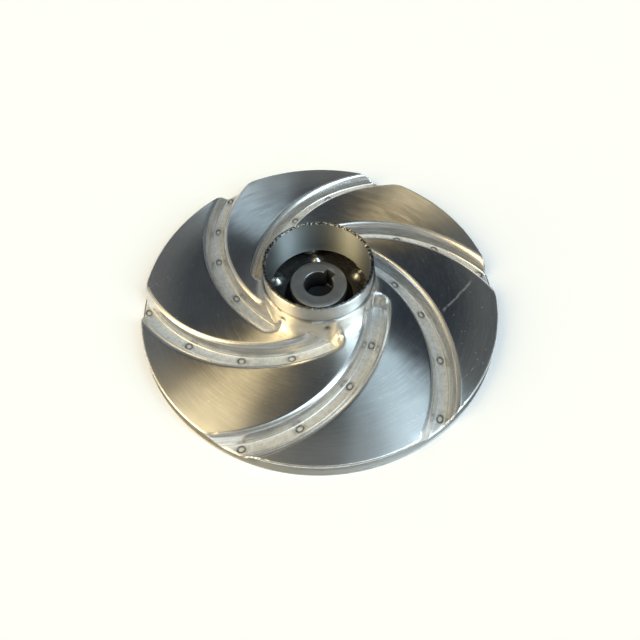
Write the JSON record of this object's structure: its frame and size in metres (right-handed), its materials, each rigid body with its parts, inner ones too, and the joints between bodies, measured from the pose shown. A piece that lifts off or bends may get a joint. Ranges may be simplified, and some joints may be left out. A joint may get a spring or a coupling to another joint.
{
  "type": "closed pump impeller",
  "caption": "Closed stainless-steel impeller of a jet pump: pressed shroud with curved vane channels, flat back plate, suction ring and keyed hub.",
  "frame": {"origin": "on the wheel's axis, in the plane of the back plate's rear face", "axes": "+Z along the axis towards the suction eye; +X and +Y lie in the plane of the disc"},
  "size_m": [0.1328, 0.1328, 0.0216],
  "materials": {
    "shroud_steel": "pressed stainless sheet, brushed on the panels and bright on the bends",
    "ring_steel": "turned stainless steel with a burred upper edge",
    "plate_steel": "brushed stainless sheet",
    "hub_steel": "dull dark grey turned steel"
  },
  "bodies": {
    "root": {"front_shroud": "shroud_steel", "neck_ring": "ring_steel", "back_plate": "plate_steel", "hub": "hub_steel"}
  },
  "joints": []
}
